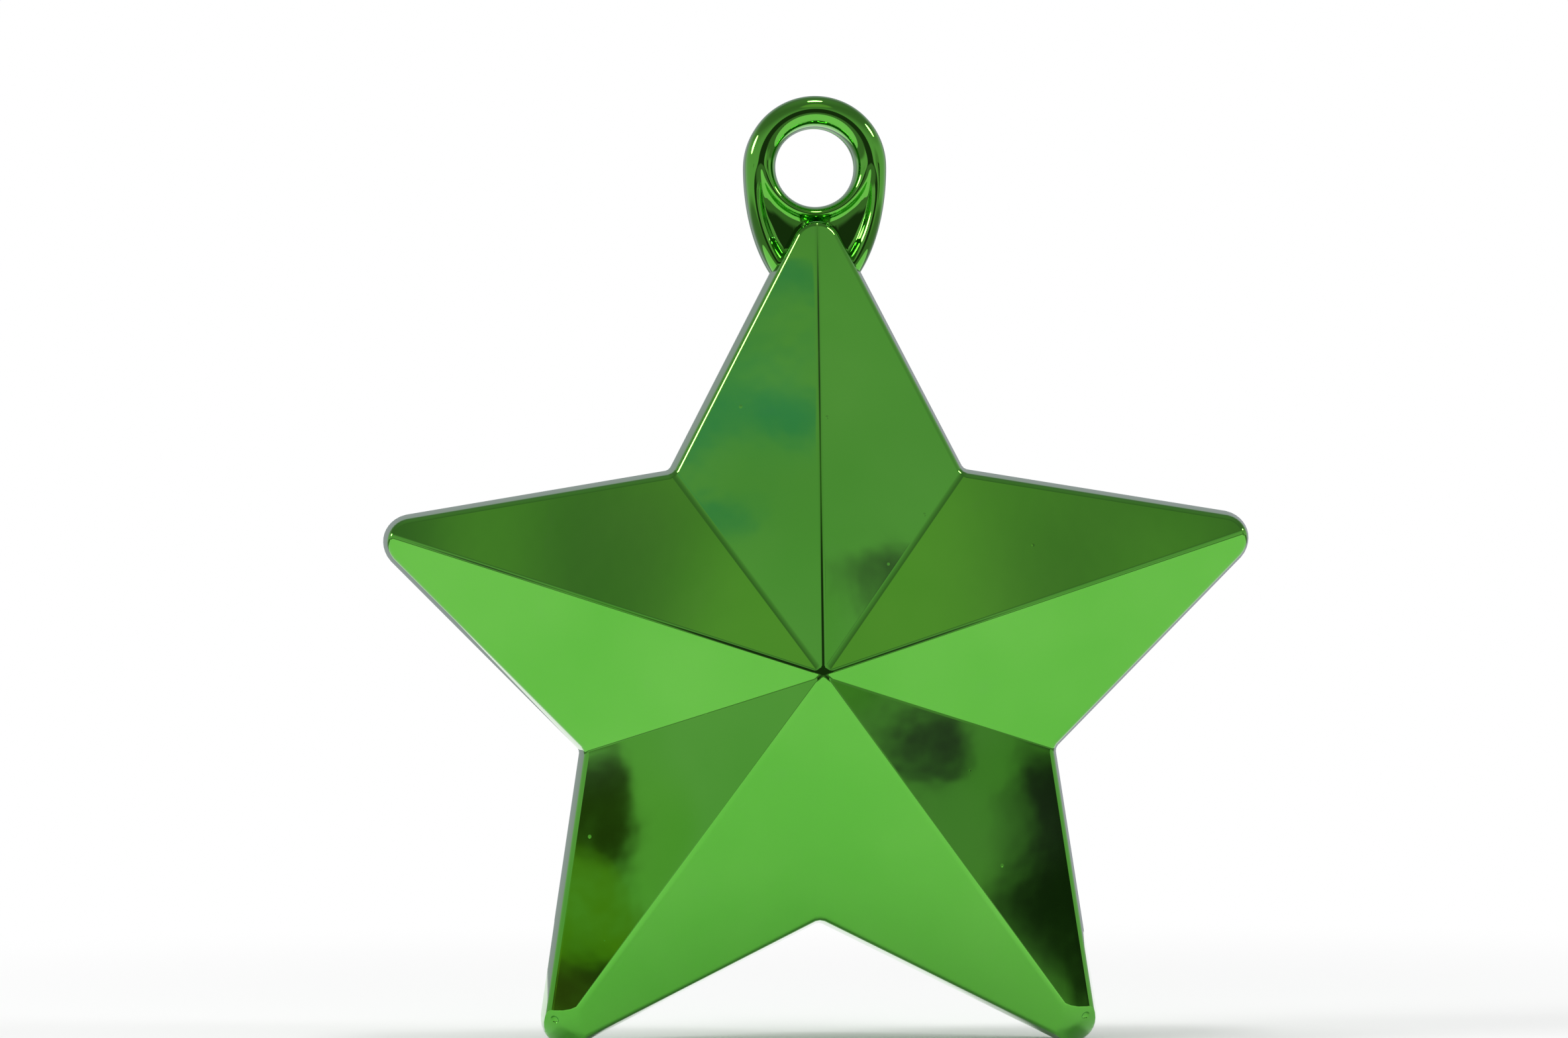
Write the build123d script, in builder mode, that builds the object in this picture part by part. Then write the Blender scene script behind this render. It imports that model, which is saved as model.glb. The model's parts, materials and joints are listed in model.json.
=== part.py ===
"""Star balloon weight: two faceted half shells with a moulded ribbon loop, each potted with ballast."""
import os
from math import atan2, cos, hypot, radians, sin, tan

from build123d import *

# Star outline at the seam, in millimetres and degrees
point_count = 5
top_direction = 90
point_radius = 56.4
notch_radius = 29.0
tip_round = 3.2
notch_round = 0.8

# Rim and facets of one half, measured out from the seam
rim_land = 2.0
rim_depth = 6.0
rim_draft = 8.0
facet_rise = 11.0
crease_round = 1.0
apex_flat_share = 0.5
seam_chamfer = 0.25

# Wall, blunt inner tips and shiplap seam
wall = 2.0
cored_tip = 2.7
lip_thickness = 0.9
lip_height = 1.5
lip_clearance = 0.1

# Ribbon loop above the top point
loop_rise = 2.1
loop_radius = 8.3
loop_side_radius = 25.0
loop_side_turn = 32.0
loop_depth = 4.2
loop_bevel = 0.6
eye_radius = 4.6
eye_band = 1.2
rim_band = 1.9
pocket_depth = 1.4

# Locating posts, in the top arm and the two lower ones
post_arms = (0, 2, 3)
post_circle = 34.0
boss_radius = 3.5
pin_radius = 2.0
pin_reach = 5.0
pin_clearance = 0.1
pin_end_gap = 0.5
boss_gap = 0.1

# Ballast castings
ballast_clearance = 0.3
fill_gap = 0.5

# Angles and distances that follow from the star's corners
half_turn = 180 / point_count
half_step = radians(half_turn)
point_angle = atan2(notch_radius * sin(half_step), point_radius - notch_radius * cos(half_step))
edge_distance = point_radius * sin(point_angle)
tip_centre = point_radius - tip_round / sin(point_angle)
tip_radius = tip_centre + tip_round
star_height = tip_centre * cos(half_step) + tip_round
loop_centre = point_radius + loop_rise

# Facets rise from the drawn-in front edge of the rim to the middle
rim_lean = tan(radians(rim_draft))
rim_inset = (rim_depth - rim_land) * rim_lean
loop_inset = (loop_depth - rim_land) * rim_lean
facet_slope = facet_rise / (edge_distance - rim_inset)
apex_height = rim_depth + facet_rise
apex_flat = apex_flat_share * crease_round
crest_height = apex_height - facet_slope * sin(point_angle) * notch_radius
facet_lean = 1 / hypot(1, facet_slope)
same_lean = 0.001

# Halves are modelled lying on the seam with the front up, then stood on their lower points
seam = Plane(origin=(0, 0, star_height), x_dir=(1, 0, 0), z_dir=(0, -1, 0))
on_seam = (Align.CENTER, Align.CENTER, Align.MIN)
post_angles = [radians(top_direction) + 2 * k * half_step for k in post_arms]
post_places = [(post_circle * cos(angle), post_circle * sin(angle)) for angle in post_angles]


def star_corners(distance):
    """Corners of the sharp star whose edges lie at this distance from the axis."""
    size = distance / edge_distance
    corners = []
    for k in range(2 * point_count):
        radius = size * (notch_radius if k % 2 else point_radius)
        angle = radians(top_direction) + k * half_step
        corners.append((radius * cos(angle), radius * sin(angle)))
    return corners


def star_pyramid(distance, slope, height):
    """Flat-sided star standing on the seam, its sides leaning in at the slope up to a flat top."""
    low = [Vector(x, y, 0) for x, y in star_corners(distance)]
    high = [Vector(x, y, height) for x, y in star_corners(distance - height / slope)]
    sides = [Face(Wire.make_polygon([low[k - 1], low[k], high[k], high[k - 1]])) for k in range(len(low))]
    return Solid(Shell(sides + [Face(Wire.make_polygon(low)), Face(Wire.make_polygon(high))]))


def facet_pyramid(inset):
    """The facets of one half, set in by the inset and meeting at a small flat in the middle."""
    apex = apex_height - inset / facet_lean
    return star_pyramid(apex / facet_slope, facet_slope, apex - apex_flat)


def blunt_polygon(inset):
    """Polygon whose sides cut the inner tips blunt, short of the outer rounding."""
    apothem = tip_radius - inset - cored_tip
    with BuildSketch() as polygon:
        RegularPolygon(apothem, point_count, major_radius=False, rotation=top_direction - half_turn)
    return polygon.sketch


def inner_sketch(inset):
    """Inner outline at the seam, drawn in by the inset."""
    with BuildSketch() as outline:
        with BuildLine():
            Polyline(*star_corners(edge_distance - inset), close=True)
        make_face()
        add(blunt_polygon(inset), mode=Mode.INTERSECT)
    return outline.sketch


def star_core(inset):
    """Flat-sided inside of one half: drafted sides, facets and blunt tips, all set in by the inset."""
    with BuildPart() as core:
        add(facet_pyramid(inset))
        add(star_pyramid(edge_distance - inset, 1 / rim_lean, apex_height), mode=Mode.INTERSECT)
        extrude(blunt_polygon(inset), amount=apex_height, mode=Mode.INTERSECT)
    return core.part


def is_facet(face):
    """True for the sloping flats, false for the seam, the rim and the apex."""
    return abs(face.normal_at().Z - facet_lean) < same_lean


def loop_sketch(inset):
    """Loop outline: a round crown whose sides draw in towards the star's top point."""
    with BuildSketch() as outline:
        with BuildLine():
            crown = CenterArc((0, loop_centre), loop_radius - inset, 0, 180)
            side_radius = loop_side_radius - inset
            left = JernArc(crown @ 1, crown % 1, side_radius, loop_side_turn)
            right = JernArc(crown @ 0, -(crown % 0), side_radius, -loop_side_turn)
            Line(left @ 1, right @ 1)
        make_face()
    return outline.sketch


# One half of the loop, with its eye and the two recessed webs beside it
with BuildPart() as loop_half:
    add(loop_sketch(0))
    extrude(amount=rim_land)
    extrude(loop_half.faces().sort_by(Axis.Z)[-1], amount=loop_depth - rim_land, taper=rim_draft)
    with Locations((0, loop_centre, 0)):
        Cylinder(eye_radius, rim_land, align=on_seam, mode=Mode.SUBTRACT)
    with Locations((0, loop_centre, rim_land)):
        Cone(eye_radius, eye_radius + loop_inset, loop_depth - rim_land, align=on_seam, mode=Mode.SUBTRACT)
    chamfer(loop_half.faces().sort_by(Axis.Z)[-1].edges(), loop_bevel)
    with BuildSketch(Plane.XY.offset(loop_depth)):
        add(loop_sketch(loop_inset + rim_band))
        with Locations((0, loop_centre)):
            Circle(eye_radius + loop_inset + eye_band, mode=Mode.SUBTRACT)
    extrude(amount=-pocket_depth, mode=Mode.SUBTRACT)

# Rim of one half: a straight band at the seam, then drafted sides round the facets
with BuildPart() as rim:
    with BuildSketch() as outline:
        with BuildLine():
            Polyline(*star_corners(edge_distance), close=True)
        make_face()
        fillet(outline.vertices().sort_by(SortBy.DISTANCE)[-point_count:], tip_round)
        fillet(outline.vertices().sort_by(SortBy.DISTANCE)[:point_count], notch_round)
    extrude(amount=rim_land)
    extrude(rim.faces().sort_by(Axis.Z)[-1], amount=crest_height - rim_land, taper=rim_draft)

# Everything round the rim, up to the height that the rim reaches
with BuildPart() as surround:
    Cylinder(2 * point_radius, crest_height, align=on_seam)
    add(rim.part, mode=Mode.SUBTRACT)

# Hollow of one half, with the locating bosses left standing in it
with BuildPart() as hollow:
    add(star_core(wall))
    with Locations(*post_places):
        Cylinder(boss_radius, apex_height, align=on_seam, mode=Mode.SUBTRACT)
        Cylinder(boss_radius, boss_gap, align=on_seam)

# Moulding that the two halves share
with BuildPart() as half_shell:
    add(facet_pyramid(0))
    add(surround.part, mode=Mode.SUBTRACT)
    cap = half_shell.faces().sort_by(Axis.Z)[-1]
    creases = half_shell.faces().filter_by(is_facet).edges() - cap.edges()
    fillet(creases, crease_round)
    add(loop_half.part)
    seam_face = half_shell.faces().sort_by(Axis.Z)[0]
    chamfer(seam_face.outer_wire().edges(), seam_chamfer)
    add(hollow.part, mode=Mode.SUBTRACT)

# Front half, with the inner lip and the pins that find the back half
with BuildPart() as front_shell:
    add(half_shell.part.moved(seam.location))
    with BuildSketch(seam):
        add(inner_sketch(wall - lip_thickness))
        add(inner_sketch(wall), mode=Mode.SUBTRACT)
    extrude(amount=-lip_height)
    with BuildSketch(seam.offset(boss_gap)):
        with Locations(*post_places):
            Circle(pin_radius)
    extrude(amount=-(pin_reach + boss_gap))
front_shell.part.label = "front_shell"

# Back half, with the rebate and the sockets that take them
with BuildPart() as back_shell:
    mirror(half_shell.part.moved(seam.location), about=Plane.XZ)
    with BuildSketch(seam):
        add(inner_sketch(wall - lip_thickness - lip_clearance))
        add(inner_sketch(wall), mode=Mode.SUBTRACT)
    extrude(amount=-(lip_height + lip_clearance), mode=Mode.SUBTRACT)
    with BuildSketch(seam):
        with Locations(*post_places):
            Circle(pin_radius + pin_clearance)
    extrude(amount=-(pin_reach + pin_end_gap), mode=Mode.SUBTRACT)
back_shell.part.label = "back_shell"

# Ballast cast into the front half, set round its bosses
with BuildPart() as front_ballast:
    add(star_core(wall + ballast_clearance).moved(seam.location))
    split(bisect_by=seam.offset(fill_gap), keep=Keep.TOP)
    with BuildSketch(seam):
        with Locations(*post_places):
            Circle(boss_radius + ballast_clearance)
    extrude(amount=apex_height, mode=Mode.SUBTRACT)
front_ballast.part.label = "front_ballast"

# Ballast cast into the back half
with BuildPart() as back_ballast:
    mirror(front_ballast.part, about=Plane.XZ)
back_ballast.part.label = "back_ballast"

os.makedirs("parts", exist_ok=True)
for piece in (front_shell, back_shell, front_ballast, back_ballast):
    export_step(piece.part, f"parts/{piece.part.label}.step")
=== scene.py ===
# %% [markdown]
# Star balloon weight.
# The real object is a plastic star, moulded in two halves, plated to a green mirror and filled with cement.
# It stands on its two lower points and holds a bunch of balloons by the ribbon loop on its top point.
# Its sizes are those of the CAD frame. This lesson models the two plated halves again with finer roundings,
# gives them and the hidden filling their finishes, and sets up a small product studio round them.

# %% Load the frame
import json
from math import atan2, cos, pi, radians, sin, tan

import bmesh
import bpy
from mathutils import Matrix, Vector


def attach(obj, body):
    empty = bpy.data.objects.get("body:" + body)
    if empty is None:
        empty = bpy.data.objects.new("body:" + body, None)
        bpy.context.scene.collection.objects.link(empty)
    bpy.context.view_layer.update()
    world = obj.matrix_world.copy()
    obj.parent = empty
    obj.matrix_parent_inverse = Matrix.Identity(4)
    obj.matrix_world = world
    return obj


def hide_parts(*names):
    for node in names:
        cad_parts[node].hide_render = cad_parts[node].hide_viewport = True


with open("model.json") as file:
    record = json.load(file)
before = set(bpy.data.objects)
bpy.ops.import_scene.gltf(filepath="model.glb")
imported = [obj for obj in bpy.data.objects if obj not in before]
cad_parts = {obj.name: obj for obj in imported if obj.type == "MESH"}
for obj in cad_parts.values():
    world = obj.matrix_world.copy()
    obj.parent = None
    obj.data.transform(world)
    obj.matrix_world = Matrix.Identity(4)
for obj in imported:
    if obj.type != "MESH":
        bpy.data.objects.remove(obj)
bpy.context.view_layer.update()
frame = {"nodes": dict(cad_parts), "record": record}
print("CAD nodes:", ", ".join(sorted(frame["nodes"])))

# %% [markdown]
# Sizes of the star.
# A star with straight edges is set by two circles, one through its points and one through its notches.
# All its edges then lie at one distance from the middle, so a smaller star is the same star scaled.
# The eye's place comes from the frame, and the lengths repeat the drawing in millimetres.

# %% Star sizes
MM = 0.001
point_count = 5
half_step = pi / point_count
point_radius = 56.4 * MM
notch_radius = 29.0 * MM
tip_round = 3.2 * MM
notch_round = 0.8 * MM
rim_land = 2.0 * MM
rim_depth = 6.0 * MM
rim_draft = radians(8)
rim_lean = tan(rim_draft)
facet_rise = 11.0 * MM
point_angle = atan2(notch_radius * sin(half_step), point_radius - notch_radius * cos(half_step))
edge_distance = point_radius * sin(point_angle)
tip_centre = point_radius - tip_round / sin(point_angle)
star_middle = Vector((0, 0, tip_centre * cos(half_step) + tip_round))
apex_height = rim_depth + facet_rise
facet_slope = facet_rise / (edge_distance - (rim_depth - rim_land) * rim_lean)
eye_middle = Vector(frame["record"]["mounts"][0]["pos_m"])
print(f"Star middle {star_middle.z / MM:.2f} mm and eye {eye_middle.z / MM:.2f} mm above the floor")

# %% [markdown]
# Camera.
# A product photo of this kind is taken with a long lens from a little under a metre, almost straight on.
# The distance follows from how far the peak and the side walls shift against the outline.
# The camera looks level, a touch from the left, and the star's middle lands where the picture has it.

# %% Camera
image_width, image_height = 2368, 1568
focal_pixels = 10139
sensor_width = 36.0
star_across, star_down = 1232.4, 1014.4
view_distance = 0.780
view_turn = radians(2.31)
view_roll = radians(-0.27)
pixel_size = view_distance / focal_pixels
forward = Vector((sin(view_turn), cos(view_turn), 0))
rightward = Vector((cos(view_turn), -sin(view_turn), 0))
upward = Vector((0, 0, 1))
aside = (star_across - image_width / 2) * pixel_size
below = (star_down - image_height / 2) * pixel_size
view_point = star_middle - view_distance * forward - aside * rightward + below * upward
axes = Matrix((rightward, upward, -forward)).transposed() @ Matrix.Rotation(view_roll, 3, "Z")
bpy.ops.object.camera_add(location=view_point, rotation=axes.to_euler())
camera = bpy.context.object
camera.data.sensor_width = sensor_width
camera.data.lens = focal_pixels * sensor_width / image_width
bpy.context.scene.camera = camera
print(f"Camera at {tuple(round(c, 3) for c in view_point)} with a {camera.data.lens:.0f} mm lens")

# %% [markdown]
# Working by hand, in code.
# Each operator acts on whatever is selected, so these helpers clear the selection, open a mesh for editing
# and pick vertices, edges or faces by a test on their place or their normal.

# %% Helpers for selecting and editing
def clear_selection():
    """Leaves edit mode and deselects every object."""
    if bpy.context.mode != "OBJECT":
        bpy.ops.object.mode_set(mode="OBJECT")
    bpy.ops.object.select_all(action="DESELECT")


def choose_piece(piece):
    """Makes the piece active and the only one selected."""
    clear_selection()
    piece.select_set(True)
    bpy.context.view_layer.objects.active = piece


def open_for_editing(piece):
    """Opens the mesh of the piece in edit mode."""
    choose_piece(piece)
    bpy.ops.object.mode_set(mode="EDIT")


def pick(kind, test):
    """Selects the vertices, edges or faces that pass the test, and says how many there are."""
    bpy.ops.mesh.select_mode(type=kind)
    bpy.ops.mesh.select_all(action="DESELECT")
    mesh = bmesh.from_edit_mesh(bpy.context.object.data)
    items = {"VERT": mesh.verts, "EDGE": mesh.edges, "FACE": mesh.faces}[kind]
    items.index_update()
    chosen = [item for item in items if test(item)]
    for item in chosen:
        item.select_set(True)
    mesh.select_flush(True)
    bmesh.update_edit_mesh(bpy.context.object.data)
    return len(chosen)


def apply_place():
    """Puts the active object's place and turn into its mesh."""
    bpy.ops.object.transform_apply(location=True, rotation=True, scale=True)


def apply_modifier(piece, kind, **settings):
    """Adds a modifier with these settings and applies it."""
    modifier = piece.modifiers.new(kind.lower(), kind)
    for name, value in settings.items():
        setattr(modifier, name, value)
    clear_selection()
    bpy.context.view_layer.objects.active = piece
    bpy.ops.object.modifier_apply(modifier=modifier.name)


clear_selection()
print(f"{len(bpy.context.selected_objects)} objects left selected after loading")

# %% [markdown]
# Facets.
# The ten facets of one half lean towards a peak, so they are a cone of ten sides with every other corner
# drawn in to the notch circle. The base is larger than the star, because the rim cuts it to size later.
# A small flat on top becomes the blunt peak. Ridges, valleys and peak are rounded now, while their edges
# are long and clean, because on a mirror every rounding draws a thin line of reflections.

# %% Facet cone
def is_notch(vert):
    """True for a vertex that lies in the direction of a notch."""
    steps = atan2(vert.co.x, vert.co.z - star_middle.z) / half_step
    return round(steps) % 2 == 1


peak_radius = 1.15 * MM
crease_bevel = 0.38 * MM
crease_segments = 3
round_profile = 0.5
facet_base = point_radius * apex_height / facet_slope / edge_distance
cone_height = apex_height * (1 - peak_radius / facet_base)
notch_share = notch_radius / point_radius
on_seam = MM / 10
bpy.ops.mesh.primitive_cone_add(
    vertices=2 * point_count, radius1=facet_base, radius2=peak_radius, depth=cone_height,
    location=star_middle - Vector((0, cone_height / 2, 0)), rotation=(pi / 2, 0, 0))
star = bpy.context.object
star.name = "front_half"
apply_place()
open_for_editing(star)
pick("VERT", is_notch)
bpy.ops.transform.resize(value=(notch_share, 1, notch_share), center_override=star_middle)
pick("EDGE", lambda e: any(v.co.y < -on_seam for v in e.verts))
bpy.ops.mesh.bevel(offset=crease_bevel, segments=crease_segments, profile=round_profile)
clear_selection()
print(f"Facet cone with {len(star.data.polygons)} faces")

# %% [markdown]
# Rim.
# The rim is the star's outline with rounded points, a straight band at the seam and sides that lean in.
# A circle of ten corners becomes the star, vertex bevels round its corners, one extrusion makes the band,
# and an inset with depth makes the leaning sides, because it keeps the same distance all round.

# %% Rim tool
tip_bevel = tip_round / tan(point_angle)
tip_segments, tip_profile = 12, 0.43
notch_turn = pi - 2 * point_angle - 2 * half_step
notch_bevel = notch_round * tan(notch_turn / 2)
notch_segments, notch_profile = 2, 0.48
rim_rise = apex_height - rim_land
bpy.ops.mesh.primitive_circle_add(
    vertices=2 * point_count, radius=point_radius, fill_type="NGON",
    location=star_middle, rotation=(pi / 2, 0, 0))
rim = bpy.context.object
apply_place()
open_for_editing(rim)
pick("VERT", is_notch)
bpy.ops.transform.resize(value=(notch_share, 1, notch_share), center_override=star_middle)
pick("VERT", lambda v: not is_notch(v))
bpy.ops.mesh.bevel(offset=tip_bevel, segments=tip_segments, profile=tip_profile, affect="VERTICES")
pick("VERT", lambda v: (v.co - star_middle).length < notch_radius + on_seam)
bpy.ops.mesh.bevel(offset=notch_bevel, segments=notch_segments, profile=notch_profile, affect="VERTICES")
pick("FACE", lambda f: True)
bpy.ops.mesh.extrude_region_move(TRANSFORM_OT_translate={"value": (0, -rim_land, 0)})
bpy.ops.mesh.inset(thickness=rim_rise * rim_lean, depth=rim_rise)
clear_selection()
print(f"Rim tool with {len(rim.data.polygons)} faces")

# %% [markdown]
# Cutting to size.
# Cone and rim are two simple solids that both reach too far. Where they overlap is the half star,
# so a Boolean intersection trims the facets and the rim against each other in one step.

# %% Cut the facets to the rim
apply_modifier(star, "BOOLEAN", operation="INTERSECT", solver="EXACT", object=rim)
bpy.data.objects.remove(rim)
print(f"Sharp half with {len(star.data.polygons)} faces")

# %% [markdown]
# Rounded rim.
# Moulded plastic has no sharp edges. The front edge of the rim is well rounded, and the seam has a small
# bevel that draws the line between the halves. Bevel weights let one modifier cut both widths.

# %% Round the rim
front_limit, side_limit, back_limit = 0.5, 0.3, 0.9


def is_front(face):
    """True for the facets and their roundings."""
    return face.normal.y < -front_limit


def is_side(face):
    """True for the walls that stand round the outline."""
    return abs(face.normal.y) < side_limit


def is_back(face):
    """True for a flat that faces backwards, such as the one on the seam."""
    return face.normal.y > back_limit


def joins(edge, first, second):
    """True for an edge between a face of the first kind and one of the second."""
    one, other = edge.link_faces
    return (first(one) and second(other)) or (first(other) and second(one))


def weigh(test, share):
    """Gives the edges that pass the test this share of the bevel's width."""
    count = pick("EDGE", test)
    bpy.ops.transform.edge_bevelweight(value=share)
    return count


rim_bevel, seam_bevel = 0.56 * MM, 0.25 * MM
rim_segments = 6
open_for_editing(star)
rim_edges = weigh(lambda e: joins(e, is_front, is_side), 1)
seam_edges = weigh(lambda e: joins(e, is_side, is_back), seam_bevel / rim_bevel)
apply_modifier(
    star, "BEVEL", limit_method="WEIGHT", width=rim_bevel, segments=rim_segments, use_clamp_overlap=False)
print(f"Rounded {rim_edges} rim edges and {seam_edges} seam edges")

# %% [markdown]
# Domed points.
# The two lower points, which carry the star, end in soft domes, while its other points stay crisp.
# One turned tool rounds both at once: a flat cone that hovers just over the ridges, a wall that stands
# just outside the points, and a wide bevel between them. The star keeps what lies inside, so only the
# points change. Above the lower points the tool is pulled away from the star, forwards and outwards.

# %% Dome the points
dome_sides, dome_segments = 720, 12
dome_round = 8.0 * MM
dome_depth = 6.42 * MM
slope_gap = 0.03
wall_gap = 0.03 * MM
behind_seam = 1.0 * MM
dome_top = 30.0 * MM
pull_aside, pull_up = 1.2, 1.5
dome_slope = facet_slope * sin(point_angle) + slope_gap
tip_radius = tip_centre + tip_round
dome_radius = tip_radius + wall_gap - (dome_depth - rim_land) * rim_lean
dome_rise = dome_slope * dome_radius
dome_turn = pi / 2 - atan2(dome_slope, 1) - atan2(rim_lean, 1)
widen = 1 + (dome_depth + behind_seam) * rim_lean / dome_radius
clear_selection()
bpy.ops.mesh.primitive_cone_add(
    vertices=dome_sides, radius1=dome_radius, radius2=0, depth=dome_rise,
    location=star_middle - Vector((0, dome_depth + dome_rise / 2, 0)), rotation=(pi / 2, 0, 0))
dome = bpy.context.object
apply_place()
open_for_editing(dome)
pick("FACE", is_back)
bpy.ops.mesh.extrude_region_move(TRANSFORM_OT_translate={"value": (0, dome_depth + behind_seam, 0)})
bpy.ops.transform.resize(value=(widen, 1, widen), center_override=star_middle)
pick("EDGE", lambda e: all(abs(v.co.y + dome_depth) < on_seam for v in e.verts))
bpy.ops.mesh.bevel(offset=dome_round * tan(dome_turn / 2), segments=dome_segments, profile=round_profile)
pick("VERT", lambda v: v.co.z > dome_top)
bpy.ops.transform.resize(value=(pull_aside, 1, pull_up), center_override=(0, 0, dome_top))
pick("VERT", lambda v: v.co.z > dome_top and v.co.y < 0)
bpy.ops.transform.translate(value=(0, -dome_round, 0))
apply_modifier(star, "BOOLEAN", operation="INTERSECT", solver="EXACT", object=dome)
bpy.data.objects.remove(dome)
print(f"Half with domed points, {len(star.data.polygons)} faces")

# %% [markdown]
# Dimples.
# Beside the ridge of each lower point lies a small dimple, as a sink mark over a thick spot leaves it.
# A ball that just reaches into the surface is subtracted, which leaves a shallow round hollow.

# %% Press the dimples
dimple_radius = 50.2 * MM
dimple_offset = radians(1.6)
dimple_ball = 0.65 * MM
dimple_lift = 0.40 * MM
ball_sides, ball_rings = 32, 24


def press_dimple(side):
    """Subtracts a ball beside the ridge of the lower point on this side, -1 for left and 1 for right."""
    angle = pi - half_step - dimple_offset
    spot = star_middle + dimple_radius * Vector((side * sin(angle), 0, cos(angle)))
    hit, normal = star.ray_cast(spot - Vector((0, apex_height, 0)), (0, 1, 0))[1:3]
    clear_selection()
    bpy.ops.mesh.primitive_uv_sphere_add(
        segments=ball_sides, ring_count=ball_rings, radius=dimple_ball,
        location=hit + dimple_lift * normal, rotation=(pi / 2, 0, 0))
    ball = bpy.context.object
    apply_place()
    apply_modifier(star, "BOOLEAN", operation="DIFFERENCE", solver="EXACT", object=ball)
    bpy.data.objects.remove(ball)
    return hit


for side in (-1, 1):
    print(f"Dimple at {tuple(round(c / MM, 1) for c in press_dimple(side))} mm")

# %% [markdown]
# Ribbon loop.
# The loop is one soft moulded ring with two beads on its front: one along its outline, which runs down into
# the star's shoulders, and one round the eye. Above the eye the beads lie side by side, and below it they
# part and leave a sunk web between them. A ring like this is quickly made by lofting: a circle is extruded
# over and over, and each new ring gets its own size and height, from the outside over the front to the eye.
# The lower half of an outer circle is drawn down to give the loop its pear shape.

# %% Loop rings
loop_draw = 1.90
band_draw = 1.93
ring_points = 48
same_spot = on_seam / 100
# Each ring has its radius and its depth in millimetres, and how far its lower half is drawn down
loop_rings = (
    (7.95, 0.00, loop_draw), (8.30, 0.35, loop_draw), (8.30, 2.00, loop_draw), (8.18, 2.95, 1.91),
    (7.85, 3.62, 1.93), (7.35, 3.96, 1.95), (6.90, 4.13, 1.96), (6.55, 4.20, 1.95), (6.40, 4.20, band_draw),
    (6.30, 4.20, 1.00), (6.15, 4.20, 1.00), (5.85, 4.13, 1.00), (5.45, 3.96, 1.00), (5.02, 3.58, 1.00),
    (4.80, 2.95, 1.00), (4.60, 2.00, 1.00), (4.60, 0.35, 1.00), (4.95, 0.00, 1.00))


def ring_of(vert):
    """Which ring of the loop a vertex belongs to, counted from the outside."""
    return vert.index // ring_points


def shape_ring(ring, widen, deepen, draw):
    """Scales a ring about the eye, moves it to the front and draws its lower half down."""
    pick("VERT", lambda v: ring_of(v) == ring)
    bpy.ops.transform.resize(value=(widen, 1, widen), center_override=eye_middle)
    bpy.ops.transform.translate(value=(0, -deepen * MM, 0))
    pick("VERT", lambda v: ring_of(v) == ring and v.co.z < eye_middle.z)
    bpy.ops.transform.resize(value=(1, 1, draw), center_override=eye_middle)


clear_selection()
bpy.ops.mesh.primitive_circle_add(
    vertices=ring_points, radius=loop_rings[0][0] * MM, location=eye_middle, rotation=(pi / 2, 0, 0))
loop = bpy.context.object
apply_place()
open_for_editing(loop)
shape_ring(0, 1, 0, loop_draw)
steps = zip(loop_rings, loop_rings[1:] + loop_rings[:1])
for ring, ((radius, depth, draw), (next_radius, next_depth, next_draw)) in enumerate(steps):
    pick("VERT", lambda v: ring_of(v) == ring)
    bpy.ops.mesh.extrude_edges_move()
    shape_ring(ring + 1, next_radius / radius, next_depth - depth, next_draw / draw)
bpy.ops.mesh.select_all(action="SELECT")
bpy.ops.mesh.remove_doubles(threshold=same_spot)
bpy.ops.mesh.normals_make_consistent(inside=False)
clear_selection()
print(f"Loop cage of {len(loop.data.polygons)} quads")

# %% [markdown]
# Sunk web.
# The web starts as a shallow groove beside the eye and gets deeper until the two beads have parted.
# Its rings are pushed back in small steps, and each step takes only the vertices that lie lower than
# before. The rings beside the web sink less, so that the beads roll softly into it.

# %% Sink the web and smooth the loop
sunk_rings = {
    "web": ((8, 9), 1.40 * MM),
    "flanks": ((7, 10), 0.95 * MM),
    "shoulders": ((6, 11), 0.35 * MM),
}
web_start, web_full = 0.3 * MM, 4.5 * MM
web_steps = 12
loop_levels = 2
open_for_editing(loop)
for step in range(web_steps):
    level = eye_middle.z - web_start - (web_full - web_start) * step / web_steps
    for rings, depth in sunk_rings.values():
        pick("VERT", lambda v: ring_of(v) in rings and v.co.z < level)
        bpy.ops.transform.translate(value=(0, depth / web_steps, 0))
apply_modifier(loop, "SUBSURF", levels=loop_levels)
print(f"Smooth loop of {len(loop.data.polygons)} quads")

# %% [markdown]
# One moulding.
# Star and loop are one piece of plastic, so a Boolean union joins them and removes what lies inside.
# Where their outlines cross, it leaves a few vertices twice, and these are merged.
# Edges sharper than 30 degrees stay sharp, all others are shaded smooth, and weighted normals give the
# large flats the last word, so that they mirror like flats.

# %% Join the loop to the star
smooth_angle = radians(30)
apply_modifier(star, "BOOLEAN", operation="UNION", solver="EXACT", object=loop)
bpy.data.objects.remove(loop)
open_for_editing(star)
bpy.ops.mesh.select_all(action="SELECT")
bpy.ops.mesh.remove_doubles(threshold=same_spot)
choose_piece(star)
bpy.ops.object.shade_smooth_by_angle(angle=smooth_angle)
apply_modifier(star, "WEIGHTED_NORMAL", mode="FACE_AREA", keep_sharp=True)
print(f"Front half of {len(star.data.polygons)} faces")

# %% [markdown]
# Back half.
# Both halves come from the same mould, apart from the hidden seam, so the back is the front mirrored.
# Mirroring turns a mesh inside out, so its normals are made to face outwards again.

# %% Mirror the back half
choose_piece(star)
bpy.ops.object.duplicate()
back = bpy.context.object
back.name = "back_half"
bpy.ops.transform.mirror(constraint_axis=(False, True, False), center_override=(0, 0, 0))
apply_place()
open_for_editing(back)
bpy.ops.mesh.select_all(action="SELECT")
bpy.ops.mesh.normals_make_consistent(inside=False)
clear_selection()
print(f"Back half of {len(back.data.polygons)} faces")

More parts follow.
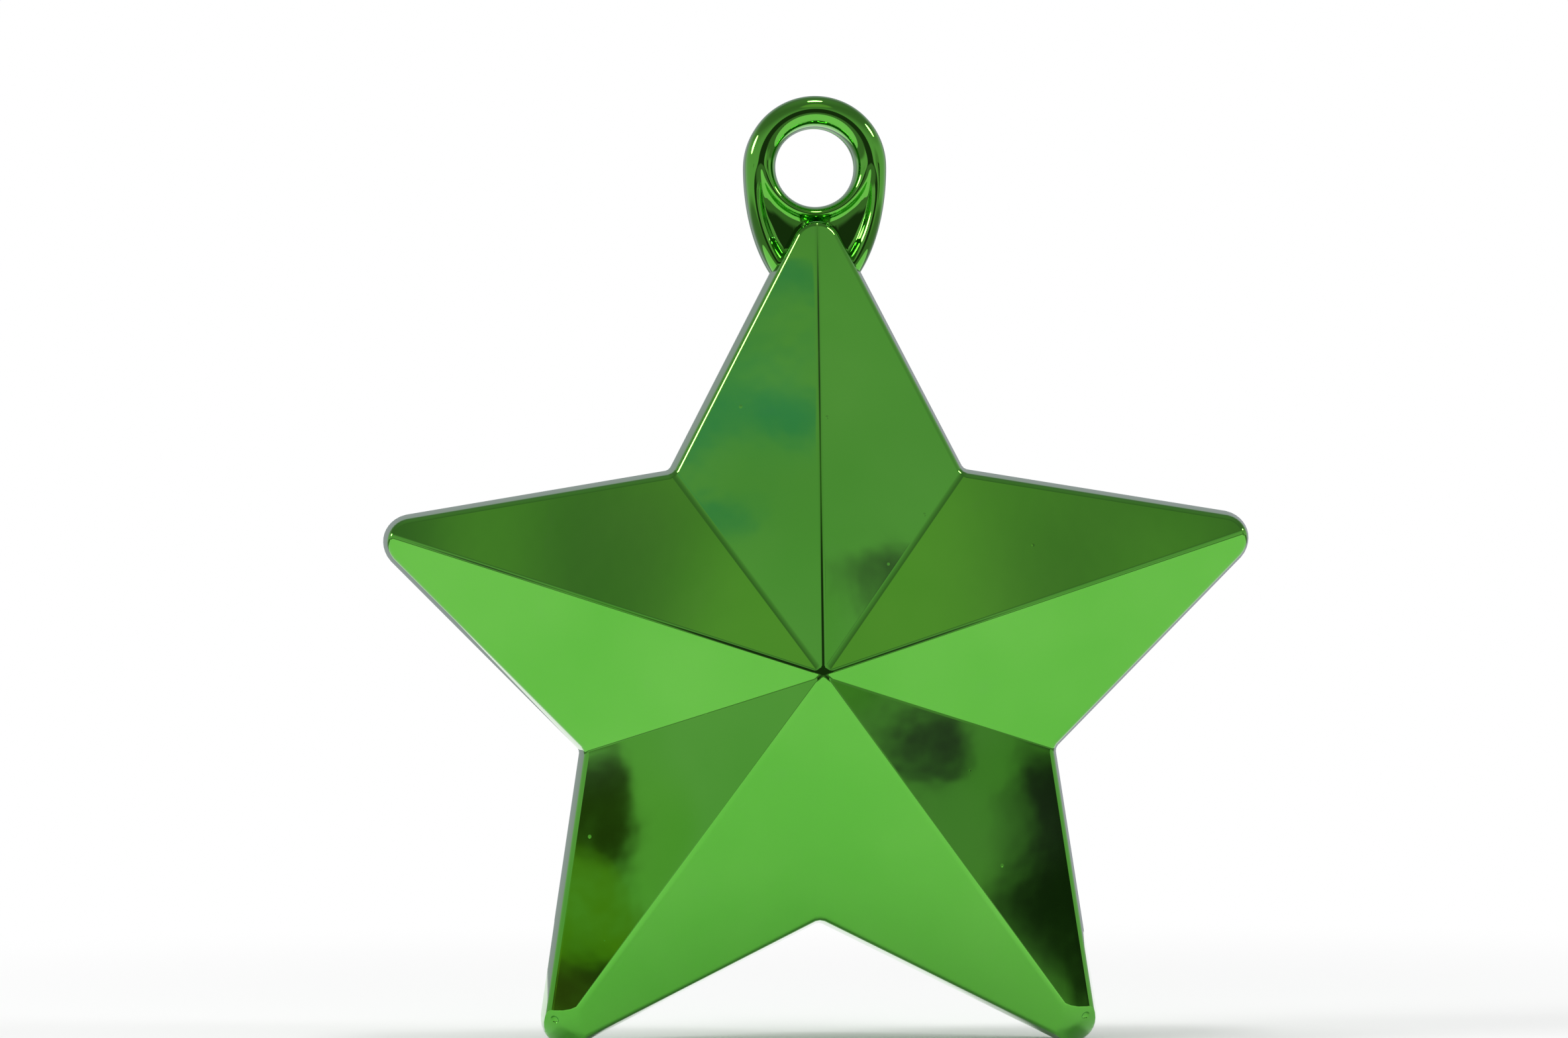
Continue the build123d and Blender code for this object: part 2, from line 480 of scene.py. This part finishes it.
# %% [markdown]
# Building materials.
# A material is a small machine of linked nodes. These helpers add a node with its values set, start a
# material with its main shader, and put a material on a piece, so that each finish reads as a short list.

# %% Node helpers
def add_node(tree, kind, **values):
    """Adds a node to the tree, sets its properties, and its inputs by their names with spaces."""
    node = tree.nodes.new(kind)
    for name, value in values.items():
        socket = name.replace("_", " ")
        if socket in node.inputs:
            node.inputs[socket].default_value = value
        else:
            setattr(node, name, value)
    return node


def new_material(name):
    """Makes a material and returns it with its node tree and its Principled shader."""
    material = bpy.data.materials.new(name)
    material.use_nodes = True
    return material, material.node_tree, material.node_tree.nodes["Principled BSDF"]


def dress(piece, material):
    """Gives a piece this one material."""
    piece.data.materials.clear()
    piece.data.materials.append(material)


print("Node helpers:", add_node.__name__, new_material.__name__, dress.__name__)

# %% [markdown]
# Soft patches.
# No real surface is the same all over. This node group turns noise of a given size into a value between
# two limits. The plating uses it for its tint and its haze, and the cement for its colour and roughness.

# %% Soft patches node group
def build_soft_patches():
    """Makes the node group that gives patches of a chosen size, from a low to a high value."""
    group = bpy.data.node_groups.new("soft_patches", "ShaderNodeTree")
    for name, kind in (("Place", "NodeSocketVector"), ("Patch Scale", "NodeSocketFloat"),
                       ("Low", "NodeSocketFloat"), ("High", "NodeSocketFloat")):
        group.interface.new_socket(name=name, in_out="INPUT", socket_type=kind)
    group.interface.new_socket(name="Value", in_out="OUTPUT", socket_type="NodeSocketFloat")
    given = add_node(group, "NodeGroupInput")
    result = add_node(group, "NodeGroupOutput")
    noise = add_node(group, "ShaderNodeTexNoise", Detail=3.0)
    spread = add_node(group, "ShaderNodeMapRange", From_Min=0.35, From_Max=0.65)
    group.links.new(given.outputs["Place"], noise.inputs["Vector"])
    group.links.new(given.outputs["Patch Scale"], noise.inputs["Scale"])
    group.links.new(noise.outputs["Fac"], spread.inputs["Value"])
    group.links.new(given.outputs["Low"], spread.inputs["To Min"])
    group.links.new(given.outputs["High"], spread.inputs["To Max"])
    group.links.new(spread.outputs["Result"], result.inputs["Value"])
    return group


soft_patches = build_soft_patches()


def add_patches(tree, place, scale, low, high):
    """Places the group in a material and returns its output."""
    node = add_node(tree, "ShaderNodeGroup", node_tree=soft_patches)
    for name, value in (("Patch Scale", scale), ("Low", low), ("High", high)):
        node.inputs[name].default_value = value
    tree.links.new(place, node.inputs["Place"])
    return node.outputs["Value"]


print(f"Node group {soft_patches.name} with {len(soft_patches.nodes)} nodes")

# %% [markdown]
# Green plating.
# The shells are plated with metal in vacuum and sealed with a green lacquer, so they mirror the room in
# green, and the clear skin of the lacquer adds a thin white gloss. The moulding under it isn't quite flat:
# it sinks a little where the plastic is thick, and has a fine orange peel and a few specks of dust.
# Three Bump nodes in a row add the waves, the peel and the dust, so that mirrored shapes bend as on the
# real one.

# %% Plating material
deep_green = (0.098, 0.465, 0.033, 1)
fresh_green = (0.121, 0.493, 0.046, 1)
wave_height, peel_height, dust_height = 0.4 * MM, 0.001 * MM, 0.02 * MM


def make_plating():
    """Makes the green mirror finish of the shells."""
    material, tree, shader = new_material("mirror_plating")
    place = add_node(tree, "ShaderNodeTexCoord").outputs["Object"]
    tint = add_node(tree, "ShaderNodeMix", data_type="RGBA")
    tint.inputs["A"].default_value = deep_green
    tint.inputs["B"].default_value = fresh_green
    haze = add_patches(tree, place, scale=160, low=0.02, high=0.05)
    tree.links.new(add_patches(tree, place, scale=45, low=0, high=1), tint.inputs["Factor"])
    tree.links.new(tint.outputs["Result"], shader.inputs["Base Color"])
    tree.links.new(haze, shader.inputs["Roughness"])
    shader.inputs["Metallic"].default_value = 1.0
    shader.inputs["Coat Weight"].default_value = 0.6
    shader.inputs["Coat Roughness"].default_value = 0.02
    waves = add_node(tree, "ShaderNodeTexNoise", Scale=38.0, Detail=0.0)
    peel = add_node(tree, "ShaderNodeTexNoise", Scale=600.0, Detail=0.0)
    dust = add_node(tree, "ShaderNodeTexVoronoi", Scale=180.0)
    specks = add_node(tree, "ShaderNodeMapRange", From_Max=0.04, To_Min=1.0, To_Max=0.0)
    for texture in (waves, peel, dust):
        tree.links.new(place, texture.inputs["Vector"])
    tree.links.new(dust.outputs["Distance"], specks.inputs["Value"])
    surface = None
    for relief, height in ((waves.outputs["Fac"], wave_height), (peel.outputs["Fac"], peel_height),
                           (specks.outputs["Result"], dust_height)):
        bump = add_node(tree, "ShaderNodeBump", Strength=1.0, Distance=height)
        tree.links.new(relief, bump.inputs["Height"])
        if surface:
            tree.links.new(surface, bump.inputs["Normal"])
        surface = bump.outputs["Normal"]
    tree.links.new(surface, shader.inputs["Normal"])
    return material


plating = make_plating()
for half in (star, back):
    dress(half, plating)
print(f"{plating.name} with {len(plating.node_tree.nodes)} nodes")

# %% [markdown]
# Cement filling.
# The weight itself is a grey cement cast into each half. It is hidden, but the model may be shown opened,
# so its CAD shapes stay and get a dull mineral finish with a sandy grain.

# %% Cement material
dark_cement = (0.36, 0.34, 0.31, 1)
pale_cement = (0.47, 0.45, 0.42, 1)
grain_height = 0.4 * MM


def make_cement():
    """Makes the rough cast finish of the filling."""
    material, tree, shader = new_material("cast_cement")
    place = add_node(tree, "ShaderNodeTexCoord").outputs["Object"]
    tint = add_node(tree, "ShaderNodeMix", data_type="RGBA")
    tint.inputs["A"].default_value = dark_cement
    tint.inputs["B"].default_value = pale_cement
    dullness = add_patches(tree, place, scale=400, low=0.80, high=0.95)
    tree.links.new(add_patches(tree, place, scale=120, low=0, high=1), tint.inputs["Factor"])
    tree.links.new(tint.outputs["Result"], shader.inputs["Base Color"])
    tree.links.new(dullness, shader.inputs["Roughness"])
    grain = add_node(tree, "ShaderNodeTexNoise", Scale=900.0, Detail=4.0)
    bump = add_node(tree, "ShaderNodeBump", Strength=0.6, Distance=grain_height)
    tree.links.new(place, grain.inputs["Vector"])
    tree.links.new(grain.outputs["Fac"], bump.inputs["Height"])
    tree.links.new(bump.outputs["Normal"], shader.inputs["Normal"])
    return material


cement = make_cement()
for name in ("front_ballast", "back_ballast"):
    dress(frame["nodes"][name], cement)
print(f"{cement.name} with {len(cement.node_tree.nodes)} nodes")

# %% [markdown]
# Soft shapes in the mirrors.
# A mirror shows its surroundings, so they need shapes of their own. Cards and lamps could be modelled, but
# the world is simpler: it knows the direction of each ray, and can colour every direction within some angle
# of a chosen one. A little noise bends the directions first, where an outline should come out uneven.

# %% Directions and masks
noise_middle = (0.5, 0.5, 0.5)


def facing(turn, rise):
    """Direction from the star, by degrees to the right of its front and above the floor."""
    level = cos(radians(rise))
    return Vector((level * sin(radians(turn)), -level * cos(radians(turn)), sin(radians(rise))))


def in_cone(tree, direction, toward, inner, outer):
    """Mask that is 1 within the inner angle of a direction and fades to 0 at the outer one, in degrees."""
    dot = add_node(tree, "ShaderNodeVectorMath", operation="DOT_PRODUCT")
    dot.inputs[1].default_value = toward
    fade = add_node(tree, "ShaderNodeMapRange", interpolation_type="SMOOTHSTEP")
    fade.inputs["From Min"].default_value = cos(radians(outer))
    fade.inputs["From Max"].default_value = cos(radians(inner))
    tree.links.new(direction, dot.inputs[0])
    tree.links.new(dot.outputs["Value"], fade.inputs["Value"])
    return fade.outputs["Result"]


def cover(tree, below, mask, colour):
    """Lays a plain colour over another one where the mask is 1."""
    mix = add_node(tree, "ShaderNodeMix", data_type="RGBA")
    mix.inputs["B"].default_value = (*colour, 1)
    tree.links.new(mask, mix.inputs["Factor"])
    tree.links.new(below, mix.inputs["A"])
    return mix.outputs["Result"]


def fray(tree, direction, size, reach):
    """Bends directions by a little noise, so that the outlines of patches come out uneven."""
    noise = add_node(tree, "ShaderNodeTexNoise", Scale=size, Detail=0.0)
    centred = add_node(tree, "ShaderNodeVectorMath", operation="SUBTRACT")
    centred.inputs[1].default_value = noise_middle
    scaled = add_node(tree, "ShaderNodeVectorMath", operation="SCALE", Scale=reach)
    bent = add_node(tree, "ShaderNodeVectorMath", operation="ADD")
    whole = add_node(tree, "ShaderNodeVectorMath", operation="NORMALIZE")
    tree.links.new(direction, noise.inputs["Vector"])
    tree.links.new(noise.outputs["Color"], centred.inputs[0])
    tree.links.new(centred.outputs["Vector"], scaled.inputs[0])
    tree.links.new(direction, bent.inputs[0])
    tree.links.new(scaled.outputs["Vector"], bent.inputs[1])
    tree.links.new(bent.outputs["Vector"], whole.inputs[0])
    return whole.outputs["Vector"]


print(f"The star's front faces {tuple(round(c, 1) for c in facing(0, 0))}")

# %% [markdown]
# Surroundings.
# A product photographer puts such a mirror into a white tent, which is dim towards the top and dark where
# the camera looks in. The room beyond it shows through in a few soft patches, which draw the dark shapes
# into the lower facets, and a window lends one facet a cool tint. Only the small patches are frayed.
# The camera itself sees plain white behind the star.

# %% White tent
# Each patch has its turn and rise, its full and fading angle, all in degrees, and its colour
room_patches = {
    "camera side": (2, 0, 22.5, 26, (0.05, 0.05, 0.05)),
    "past the table": (0, -90, 82, 88, (0.25, 0.25, 0.25)),
    "overhead panel": (4, 44, 6.5, 11, (0.54, 0.51, 0.36)),
    "backdrop": (180, 12, 25, 45, (0.34, 0.36, 0.38)),
    "right wall": (50, 2, 8, 16, (0.38, 0.38, 0.36)),
    "near right card": (48.9, 4.9, 0.5, 1.0, (0.06, 0.06, 0.06)),
    "far right card": (54.5, 1.5, 3.8, 4.6, (0.03, 0.03, 0.03)),
    "left card": (-46.2, 3.2, 0.9, 1.6, (0.08, 0.07, 0.03)),
    "wooden shelf": (-46.2, 2.2, 0.3, 0.8, (0.42, 0.38, 0.06)),
    "lamp stand": (45.7, 18.6, 0.3, 0.8, (0.07, 0.07, 0.07)),
    "window": (-41.6, 20.8, 0.1, 0.8, (0.20, 0.40, 0.75)),
}
frayed_below = 5
# Brightness of the tent by height, from the horizon at 0 to straight overhead at 1
tent_levels = ((0.0, 0.60), (0.33, 0.53), (0.60, 0.25), (0.80, 0.22), (1.0, 0.30))
ramp_middle = 0.5


def make_tent():
    """Builds the world that the plating mirrors."""
    world = bpy.data.worlds.new("white_tent")
    world.use_nodes = True
    bpy.context.scene.world = world
    tree = world.node_tree
    direction = add_node(tree, "ShaderNodeTexCoord").outputs["Generated"]
    height = add_node(tree, "ShaderNodeSeparateXYZ")
    tree.links.new(direction, height.inputs["Vector"])
    brightness = add_node(tree, "ShaderNodeValToRGB")
    stops = brightness.color_ramp.elements
    while len(stops) < len(tent_levels):
        stops.new(ramp_middle)
    for stop, (place, level) in zip(stops, tent_levels):
        stop.position = place
        stop.color = (level, level, level, 1)
    tree.links.new(height.outputs["Z"], brightness.inputs["Fac"])
    colour = brightness.outputs["Color"]
    bent = fray(tree, direction, size=45, reach=0.03)
    for turn, rise, inner, outer, paint in room_patches.values():
        outline = bent if outer < frayed_below else direction
        colour = cover(tree, colour, in_cone(tree, outline, facing(turn, rise), inner, outer), paint)
    tent = add_node(tree, "ShaderNodeBackground")
    tree.links.new(colour, tent.inputs["Color"])
    white = add_node(tree, "ShaderNodeBackground", Color=(1, 1, 1, 1), Strength=1.0)
    rays = add_node(tree, "ShaderNodeLightPath")
    choose = add_node(tree, "ShaderNodeMixShader")
    tree.links.new(rays.outputs["Is Camera Ray"], choose.inputs["Fac"])
    tree.links.new(tent.outputs["Background"], choose.inputs[1])
    tree.links.new(white.outputs["Background"], choose.inputs[2])
    tree.links.new(choose.outputs["Shader"], tree.nodes["World Output"].inputs["Surface"])
    return world


tent = make_tent()
print(f"World {tent.name} with {len(tent.node_tree.nodes)} nodes")

# %% [markdown]
# Floor.
# The star stands on a round white sheet of paper, which catches its soft shadow. Towards its edge the sheet
# fades to the white that the camera sees behind, so neither edge nor horizon shows.

# %% Floor sheet
floor_radius = 0.26
floor_sides = 128
fade_start, fade_end = 0.10, 0.24


def make_floor_paper():
    """Makes the white paper of the floor, which fades to plain white far from the star."""
    material, tree, shader = new_material("floor_paper")
    shader.inputs["Base Color"].default_value = (0.9, 0.9, 0.9, 1)
    shader.inputs["Roughness"].default_value = 0.9
    shader.inputs["Specular IOR Level"].default_value = 0.1
    place = add_node(tree, "ShaderNodeTexCoord").outputs["Object"]
    reach = add_node(tree, "ShaderNodeVectorMath", operation="LENGTH")
    fade = add_node(
        tree, "ShaderNodeMapRange", From_Min=fade_start, From_Max=fade_end, interpolation_type="SMOOTHSTEP")
    rays = add_node(tree, "ShaderNodeLightPath")
    seen = add_node(tree, "ShaderNodeMath", operation="MAXIMUM")
    share = add_node(tree, "ShaderNodeMath", operation="MULTIPLY")
    white = add_node(tree, "ShaderNodeEmission", Color=(1, 1, 1, 1), Strength=1.0)
    choose = add_node(tree, "ShaderNodeMixShader")
    tree.links.new(place, reach.inputs[0])
    tree.links.new(reach.outputs["Value"], fade.inputs["Value"])
    tree.links.new(rays.outputs["Is Camera Ray"], seen.inputs[0])
    tree.links.new(rays.outputs["Is Glossy Ray"], seen.inputs[1])
    tree.links.new(seen.outputs["Value"], share.inputs[0])
    tree.links.new(fade.outputs["Result"], share.inputs[1])
    tree.links.new(share.outputs["Value"], choose.inputs["Fac"])
    tree.links.new(shader.outputs["BSDF"], choose.inputs[1])
    tree.links.new(white.outputs["Emission"], choose.inputs[2])
    tree.links.new(choose.outputs["Shader"], tree.nodes["Material Output"].inputs["Surface"])
    return material


clear_selection()
bpy.ops.mesh.primitive_circle_add(vertices=floor_sides, radius=floor_radius, fill_type="NGON")
floor = bpy.context.object
floor.name = "floor"
dress(floor, make_floor_paper())
print(f"Floor sheet {floor.dimensions.x:.2f} m across")

# %% [markdown]
# Overhead lamp.
# One large soft lamp from above lights the floor and gives the star its shadow. A sun lamp with a wide angle
# does this evenly, wherever the camera stands, and it stays out of the mirrors.

# %% Overhead lamp
lamp_power = 1.45
lamp_spread = radians(50)
lamp_tilt = (radians(-8), radians(-6), 0)
bpy.ops.object.light_add(type="SUN", location=(0, 0, 1), rotation=lamp_tilt)
lamp = bpy.context.object
lamp.name = "overhead_lamp"
lamp.data.energy = lamp_power
lamp.data.angle = lamp_spread
lamp.visible_glossy = False
print(f"Lamp {lamp.name} with power {lamp.data.energy:.2f}")

# %% [markdown]
# Soft boxes.
# Three round soft boxes stand beside and over the star. Seen from the front, its flat facets don't catch
# them, but every rolled edge does, and that is where the small white glints come from.

# %% Soft boxes
box_distance = 0.9


def add_softbox(name, around, away, size, power):
    """Adds a round lamp facing the star, by its angle round the front axis and its angle away from it."""
    across = sin(radians(away))
    toward = Vector((across * cos(radians(around)), -cos(radians(away)), across * sin(radians(around))))
    place = star_middle + box_distance * toward
    turn = toward.to_track_quat("Z", "Y").to_euler()
    bpy.ops.object.light_add(type="AREA", location=place, rotation=turn)
    box = bpy.context.object
    box.name = name
    box.data.shape = "DISK"
    box.data.size = size
    box.data.energy = power
    return box


softboxes = [
    add_softbox("left_softbox", around=153, away=76, size=0.26, power=2.4),
    add_softbox("right_softbox", around=38, away=76, size=0.18, power=1.2),
    add_softbox("top_softbox", around=88, away=76, size=0.18, power=1.2)]
print(f"{len(softboxes)} soft boxes at {box_distance} m")

# %% [markdown]
# Putting the halves in place.
# Each half takes the place of its CAD shell and moves with it.

# %% Finish
for half, shell in ((star, "front_shell"), (back, "back_shell")):
    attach(half, "root")
    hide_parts(shell)
bpy.context.scene.view_settings.view_transform = "Standard"
